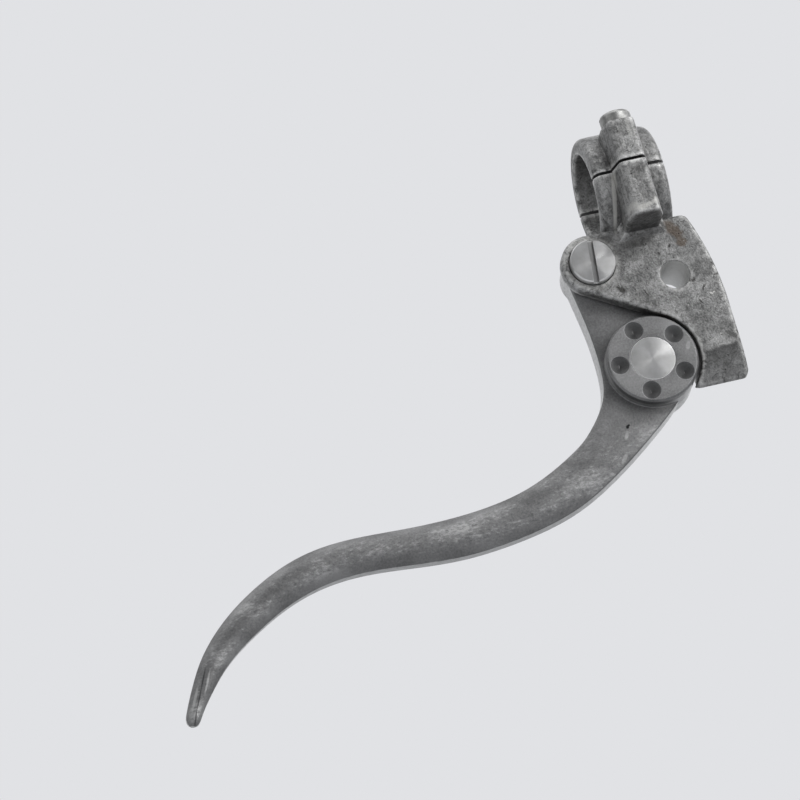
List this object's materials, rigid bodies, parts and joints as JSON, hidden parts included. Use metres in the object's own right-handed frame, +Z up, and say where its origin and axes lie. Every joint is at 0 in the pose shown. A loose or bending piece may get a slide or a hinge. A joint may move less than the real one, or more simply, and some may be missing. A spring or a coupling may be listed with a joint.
{
  "type": "bicycle brake lever",
  "caption": "Bicycle brake lever with a cast bracket split-clamped to a bar, an S-curved lever on a slotted pivot screw and a turned barrel that swivels to pull the cable.",
  "frame": {"origin": "centre of the clamp bore, on the bar's axis at mid width", "axes": "+X along the bar away from the lever's tip, +Y along the pivot from the slotted head to the nut, +Z up"},
  "size_m": [0.1635, 0.0428, 0.1305],
  "materials": {
    "cast_alloy": "rough cast, weathered",
    "lever_alloy": "tumbled satin, worn",
    "plated_steel": "bright zinc plate",
    "turned_steel": "fine turned face",
    "bronze": "plain bearing bronze"
  },
  "bodies": {
    "mount": {"bracket": "cast_alloy", "clamp_cap": "cast_alloy", "clamp_bolt_front": "plated_steel", "clamp_bolt_rear": "plated_steel", "pivot_screw": "turned_steel", "pivot_nut": "plated_steel"},
    "lever": {"lever_blade": "lever_alloy", "pivot_bush": "bronze"},
    "cable_end": {"cable_trunnion": "turned_steel"}
  },
  "joints": [
    {"name": "lever_pivot", "type": "hinge", "parent": "mount", "child": "lever", "pos_m": [-0.0148, 0, -0.0205], "axis": [0, 1, 0], "range_deg": [0, 32]},
    {"name": "cable_swivel", "type": "hinge", "parent": "lever", "child": "cable_end", "pos_m": [-0.0069, 0, -0.0489], "axis": [0, 1, 0], "range_deg": [-32, 0]}
  ]
}
